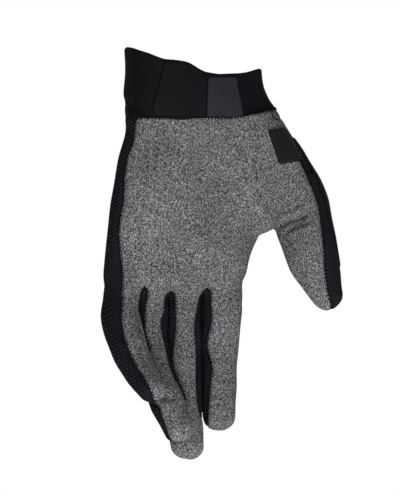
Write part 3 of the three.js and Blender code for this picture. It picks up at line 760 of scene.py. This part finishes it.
cuffFolds = [  # a groove's depth, its width, how much of it fades along its line, and the line
    (1.9, 1.4, 0.9, [(-37.0, -15.4), (-31.5, -19.2), (-22.8, -23.4)]),
    (1.3, 1.6, 0.6, [(-37.5, -15.6), (-33.5, -15.2), (-29.5, -16.6)]),
    (0.5, 1.6, 0.8, [(34.0, -4.5), (36.5, -9.0), (39.5, -13.5)]),
]
cuffSeam = [(34.2, 2.0), (34.9, -3.0), (36.0, -9.0), (38.3, -13.0), (40.6, -18.0), (41.5, -24.0)]


def cuffSkin(angles, heights):
    # points of the cuff's outer skin, from angles and heights of the same shape
    x, y, wide, deep = (np.interp(heights, palmColumns[:, 2], palmColumns[:, k]) for k in (0, 1, 3, 4))
    side, rise = (bend(turn(angles), limbs["palm"]["square"]) for turn in (np.cos, np.sin))
    points = np.stack([x + wide * side, y - deep * rise, heights], -1)
    out = np.stack([np.cos(angles) / wide, -np.sin(angles) / deep, 0 * angles], -1)
    out /= np.linalg.norm(out, axis=-1, keepdims=True)
    spots = viewPlane(points.reshape(-1, 3))
    lift = cuffShape["wave"] * (np.sin(3 * angles + heights / 5) + np.sin(7 * angles - heights / 4)).ravel()
    front = ramp((out @ viewBack).ravel(), *facingView["cuff"])
    for depth, width, fade, line in cuffFolds:
        away, share = alongLine(spots, line)
        lift -= front * depth * np.exp(-(away / width) ** 2) * (1 - fade * ramp(share, 0.4, 1))
    away, _ = alongLine(spots, cuffSeam)
    lift += front * cuffShape["layer"] * ramp(away, -0.2, 0.5)
    return points + out * lift.reshape(angles.shape)[..., None], out


def makeCuff():
    half = cuffShape["wall"] / 2
    angles = np.linspace(0, 2 * math.pi, cuffShape["around"], endpoint=False)
    top = np.interp(np.degrees(angles), *zip(*cuffTop))
    for _ in range(cuffShape["topRounds"]):
        top = 0.5 * top + 0.25 * (np.roll(top, 1) + np.roll(top, -1))
    level = cuffSkin(angles, np.full_like(angles, cuffShape["seamHeight"]))[0]
    edge = np.interp(level[:, 0], *zip(*cuffLine))
    bottom = edge - cuffShape["tuck"]
    share = np.linspace(0, 1, cuffShape["rows"])[:, None]
    heights = bottom + (top - half - bottom) * share
    skin, out = cuffSkin(np.broadcast_to(angles, heights.shape), heights)
    tucked = ramp(edge + cuffShape["tuckFrom"] - heights, 0, cuffShape["tuck"] + cuffShape["tuckFrom"])
    skin = skin - out * (cuffShape["tuckSink"] * tucked)[..., None]
    turns = np.linspace(0, math.pi, cuffShape["rim"] + 2)[1:-1]
    rim = np.stack([skin[-1] - out[-1] * (half - half * math.cos(t)) + (0, 0, half * math.sin(t))
                    for t in turns])
    lining = (skin - out * cuffShape["wall"])[::-1]
    wall = np.concatenate([skin, rim, lining])
    here = np.arange(wall.shape[0] * wall.shape[1]).reshape(wall.shape[:2])
    up = np.roll(here, -1, axis=0)
    faces = np.stack([here, np.roll(here, -1, axis=1), np.roll(up, -1, axis=1), up], -1).reshape(-1, 4)
    return {"points": wall.reshape(-1, 3), "triangles": faces, "data": {}}


cuff = makeCuff()
cuffPiece = finishPiece("cuff_cloth", cuff, "elastic", "cuff")
cuffTree = treeFrom(cuff["points"], cuff["triangles"])
bodyTree = treeFrom(body["points"], body["triangles"])
print("cuff made")


# Flat pieces laid on the front: a fine grid inside an outline, cast on the cloth along the view

def castOn(tree, spots, away=150):
    # where the view's rays through spots of its plane meet the cloth, and the cloth's normal there
    places, normals = np.zeros((len(spots), 3)), np.zeros((len(spots), 3))
    hit = np.zeros(len(spots), bool)
    direction = Vector(-viewBack)
    for n, (across, up) in enumerate(spots):
        start = Vector((viewRight * across + (0, 0, up) + viewBack * away) * mm)
        place, normal, _, _ = tree.ray_cast(start, direction)
        if place is not None:
            places[n], normals[n], hit[n] = np.array(place) / mm, normal, True
    normals *= np.where(normals @ viewBack < 0, -1, 1)[:, None]
    return places, normals, hit


def cutPatch(skin, patch):
    # rows of points for the rounded edge, and nothing outside the outline
    for share in patch["rows"]:
        skin = splitAt(skin, "inside", share * patch["edge"])
    return keepAbove(skin, "inside", 0)


def finishPatch(patch, skin, normals):
    # the patch lies on the cloth, and its edge is rounded off
    t = np.clip(skin["data"]["inside"] / patch["edge"], 0, 1)
    rise = patch["lift"] + patch["thick"] * np.sqrt(1 - (1 - t) ** 2)
    skin["points"] = skin["points"] + normals * rise[:, None]
    piece = finishPiece(patch["name"], skin, patch["slot"], patch["node"], patch["thick"] + patch["lift"])


def layPatch(patch, tree):
    low, high = np.min(patch["corners"], axis=0) - 1, np.max(patch["corners"], axis=0) + 1
    across, up = (np.arange(low[k], high[k], patch["step"]) for k in (0, 1))
    grid = np.stack(np.meshgrid(across, up), -1).reshape(-1, 2)
    index = np.arange(len(grid)).reshape(len(up), len(across))
    a, b, c, d = (part.ravel() for part in (index[:-1, :-1], index[:-1, 1:], index[1:, 1:], index[1:, :-1]))
    skin = cutPatch({"points": np.column_stack([grid, np.zeros(len(grid))]),
                     "triangles": np.concatenate([np.stack([a, b, c], 1), np.stack([a, c, d], 1)]),
                     "data": {"inside": insideOf(grid, patch["corners"], patch["rounding"])}}, patch)
    skin["points"], skin["data"]["normal"], hit = castOn(tree, skin["points"][:, :2])
    skin = keepFaces(skin, hit[skin["triangles"]].all(axis=1))
    normals = softenValues(skin["data"]["normal"], skin["triangles"], patch["rounds"])
    normals /= np.linalg.norm(normals, axis=1)[:, None]
    finishPatch(patch, skin, normals)


tab = {"name": "wrist_tab_cloth", "node": "wrist_tab", "slot": "smooth_black", "flat": (25, 30),
       "corners": [(-14.6, 4.9), (-2.8, 4.3), (2.2, 1.4), (6.3, -1.6), (6.5, -6.0), (6.6, -23.7),
                   (-17.0, -23.6), (-20.4, -22.2), (-21.3, -19.1)], "rounding": 1.2, "rounds": 12,
       "rows": (0, 0.25, 0.6, 1), "edge": 0.9, "thick": 0.9, "lift": 0.1, "step": 0.55}
label = {"name": "cuff_label_cloth", "node": "cuff_label", "slot": "label", "flat": (19, 21),
         "corners": [(7.9, -3.0), (22.7, -2.4), (26.6, -23.4), (7.2, -23.6)], "rounding": 1.3, "rounds": 12,
         "rows": (0, 0.25, 0.6, 1), "edge": 0.5, "thick": 0.5, "lift": 0.1, "step": 0.55}
layPatch(tab, cuffTree)
layPatch(label, cuffTree)


# Flat pieces that wrap round the side: the part of the body's skin where a value is positive

def wrapPatch(patch, inside):
    skin = dict(body, data=dict(body["data"], inside=inside))
    skin = mainParts(cutPatch(skin, patch))
    finishPatch(patch, skin, skin["data"]["normal"])


badge = {"name": "heel_badge_rubber", "node": "heel_badge", "slot": "rubber", "flat": (14, 19),
         "corners": [(39.2, -30.0), (48.6, -28.3), (52.6, -36.0), (56.8, -46.5), (46.2, -48.3),
                     (45.0, -47.2)], "rounding": 1.2,
         "rows": (0, 0.35, 1), "edge": 0.8, "thick": 0.9, "lift": 0.12}
thumbCover = {"name": "thumb_back_cloth", "node": "thumb_back", "slot": "smooth_black", "flat": (42, 70),
              "reach": 1.0, "rounds": 8, "rows": (0, 0.35, 1), "edge": 0.7, "thick": 0.7, "lift": 0.12}

inBadge = insideOf(viewPlane(body["points"]), badge["corners"], badge["rounding"])
inFront = body["data"]["normal"] @ viewBack > facingView["badge"]
wrapPatch(badge, np.where(inFront, inBadge, -5.0))
coverTree = treeOf("thumb_back")
away = np.array([nearest(coverTree, point)[1] for point in (body["points"] * mm).tolist()])
wrapPatch(thumbCover, softenValues(thumbCover["reach"] - away, body["triangles"], thumbCover["rounds"]))
print("flat pieces made")


# Stitches: small beads of thread, each a capsule along its own short line. A section has its place along it
# and its share of the thread's radius.
thread = {"sides": 6, "sections": ((-0.12, 0.45), (0.05, 0.95), (0.5, 1.1), (0.95, 0.95), (1.12, 0.45))}


def capsule(points, faces, a, b, radius):
    axis = b - a
    length = np.linalg.norm(axis)
    axis = axis / length
    side = np.cross(axis, (0.3, 0.5, 0.8))
    side /= np.linalg.norm(side)
    other = np.cross(axis, side)
    turns = np.linspace(0, 2 * math.pi, thread["sides"], endpoint=False)
    ring = np.cos(turns)[:, None] * side + np.sin(turns)[:, None] * other
    rings = np.stack([a + axis * length * along + ring * radius * size for along, size in thread["sections"]])
    addRings(points, faces, rings)


def lengthsOf(line):
    return np.append(0, np.cumsum(np.linalg.norm(np.diff(line, axis=0), axis=1)))


def sampled(values, lengths, at):
    # the values at these lengths along a line
    return np.stack([np.interp(at, lengths, column) for column in values.T], 1)


def stitchRow(row, tree):
    # stitches along a line of the view's plane, laid on the cloth
    line = np.array(row["line"])
    lengths = lengthsOf(line)
    starts = np.arange(0.3 * row["pitch"], lengths[-1] - row["length"], row["pitch"])
    ends = []
    for at in (starts, starts + row["length"]):
        places, normals, hit = castOn(tree, sampled(line, lengths, at))
        ends.append((places + normals * row["lift"], hit))
    (a, hitA), (b, hitB) = ends
    return [(p, q) for p, q, ok in zip(a, b, hitA & hitB) if ok]


def makeStitches(name, slot, pairs, radius):
    points, faces = [], []
    for a, b in pairs:
        capsule(points, faces, a, b, radius)
    print(name, len(pairs), "stitches")
    finishPiece(name, {"points": np.array(points), "triangles": faces}, slot, None)


badgeRow = {"line": [(50.0, -30.6), (53.6, -37.4), (58.0, -46.4)],
            "pitch": 1.9, "length": 0.8, "lift": 0.3, "radius": 0.22}
cornerBox = {"line": [(41.6, -19.0), (42.6, -24.3), (46.0, -23.7)],
             "pitch": 1.4, "length": 1.25, "lift": 0.15, "radius": 0.22}
tabRow = {"line": [(5.6, -3.6), (5.9, -22.6)], "pitch": 1.8, "length": 0.9, "lift": 1.05, "radius": 0.16}
makeStitches("badge_stitches", "suede", stitchRow(badgeRow, bodyTree), badgeRow["radius"])
makeStitches("corner_stitches", "smooth_black", stitchRow(cornerBox, bodyTree), cornerBox["radius"])
makeStitches("tab_stitches", "label", stitchRow(tabRow, cuffTree), tabRow["radius"])


def seamCurves(panel):
    # the rim of a panel as loops of point numbers, each in order
    edges, which = edgesOf(panel["triangles"])
    count = np.bincount(which.ravel(), minlength=len(edges))
    follow = {}
    for a, b in edges[count == 1]:
        follow.setdefault(a, []).append(b)
        follow.setdefault(b, []).append(a)
    loops, seen = [], set()
    for first in follow:
        if first in seen:
            continue
        loop, here = [first], first
        seen.add(first)
        while True:
            ahead = [n for n in follow[here] if n not in seen]
            if not ahead:
                break
            here = ahead[0]
            seen.add(here)
            loop.append(here)
        loops.append(np.array(loop))
    return loops


# The palm's seam: the fewest points of a loop that is stitched, the rounds that smooth it, and the stretch
# on each side of a stitch that gives its way
whip = {"fewest": 60, "rounds": 6, "stretch": 0.8, "pitch": 1.9, "reach": 0.85, "lean": 0.35, "lift": 0.45,
        "radius": 0.24}


def whipStitches(panel):
    # short threads that cross a panel's rim at a slant, one every pitch
    pairs = []
    for loop in seamCurves(panel):
        if len(loop) < whip["fewest"]:
            continue
        rim, up = panel["points"][loop], panel["data"]["normal"][loop]
        for _ in range(whip["rounds"]):
            rim[1:-1] = 0.5 * rim[1:-1] + 0.25 * (rim[2:] + rim[:-2])
        steps = lengthsOf(rim)
        at = np.arange(whip["pitch"], steps[-1] - whip["pitch"], whip["pitch"])
        place, normal = sampled(rim, steps, at), sampled(up, steps, at)
        along = sampled(rim, steps, at + whip["stretch"]) - sampled(rim, steps, at - whip["stretch"])
        along /= np.linalg.norm(along, axis=1)[:, None]
        normal -= (normal * along).sum(axis=1)[:, None] * along
        normal /= np.linalg.norm(normal, axis=1)[:, None]
        slant = np.cross(along, normal) * whip["reach"] - along * whip["lean"]
        pairs += list(zip(place + slant + normal * whip["lift"], place - slant + normal * whip["lift"]))
    return pairs


makeStitches("palm_stitches", "knit", whipStitches(panels["palm_panel"]), whip["radius"])
print("stitches made")


# Floor, light and camera

floorShape = {"half": 6, "height": -1.1, "colour": (0.8, 0.8, 0.8, 1), "roughness": 0.9}
worldStrength = 0.31
lamps = [  # name, its place out to the camera, to the right and up from the picture's middle, size and power
    ("key", 0.85, 0.05, -0.65, 0.8, 8.7), ("fill", 0.8, 0.8, 0.1, 0.9, 1.1)]


def whiteToCamera(tree):
    # the floor is as white as the backdrop where the camera looks at it
    end = next(node for node in tree.nodes if node.type == "OUTPUT_MATERIAL")
    glow = addNode(tree, "Emission")
    path = addNode(tree, "LightPath")
    mix = addNode(tree, "MixShader", feeds={
        "Fac": (path, "Is Camera Ray"), 1: (tree.nodes["Principled BSDF"], "BSDF"), 2: (glow, "Emission")})
    tree.links.new(mix.outputs["Shader"], end.inputs["Surface"])


def makeStage():
    floor = bpy.data.meshes.new("floor")
    corners = [(x * floorShape["half"], y * floorShape["half"], floorShape["height"])
               for x, y in ((-1, -1), (1, -1), (1, 1), (-1, 1))]
    floor.from_pydata(corners, [], [(0, 1, 2, 3)])
    pale = bpy.data.materials.new("paleFloor")
    pale.use_nodes = True
    shader = pale.node_tree.nodes["Principled BSDF"]
    shader.inputs["Base Color"].default_value = floorShape["colour"]
    shader.inputs["Roughness"].default_value = floorShape["roughness"]
    whiteToCamera(pale.node_tree)
    floor.materials.append(pale)
    addObject("floor", floor)


def makeWorld():
    # the world lights the glove softly, and the camera sees it white
    world = bpy.data.worlds.new("studio")
    world.use_nodes = True
    tree = world.node_tree
    background = tree.nodes["Background"]
    background.inputs["Color"].default_value = (1, 1, 1, 1)
    path = addNode(tree, "LightPath")
    tone = addNode(tree, "MapRange", {"To Min": worldStrength}, {"Value": (path, "Is Camera Ray")})
    tree.links.new(tone.outputs["Result"], background.inputs["Strength"])
    bpy.context.scene.world = world


def placeAt(thing, place, direction):
    # a light or camera at a place, looking in a direction
    thing.location = place
    thing.rotation_mode = "QUATERNION"
    thing.rotation_quaternion = direction.to_track_quat("-Z", "Y")


def areaLight(name, place, aim, size, power):
    lamp = bpy.data.lights.new(name, "AREA")
    lamp.shape = "DISK"
    lamp.size = size
    lamp.energy = power
    placeAt(addObject(name, lamp), place, aim - place)


makeStage()
makeWorld()
bpy.context.scene.view_settings.view_transform = "Standard"
middle = Vector((viewRight * shot["across"] + (0, 0, shot["up"])) * mm)
back, right = Vector(viewBack), Vector(viewRight)
for name, out, aside, rise, size, power in lamps:
    areaLight(name, middle + back * out + right * aside + Vector((0, 0, rise)), middle, size, power)

lens = bpy.data.cameras.new("camera")
lens.lens = shot["lens"]
lens.clip_start, lens.clip_end = 0.01, 30
eye = addObject("camera", lens)
distance = shot["pictureHeight"] * mm * shot["lens"] / lens.sensor_width
placeAt(eye, middle + back * distance, -back)
bpy.context.scene.camera = eye

bpy.context.view_layer.update()
print("scene made")
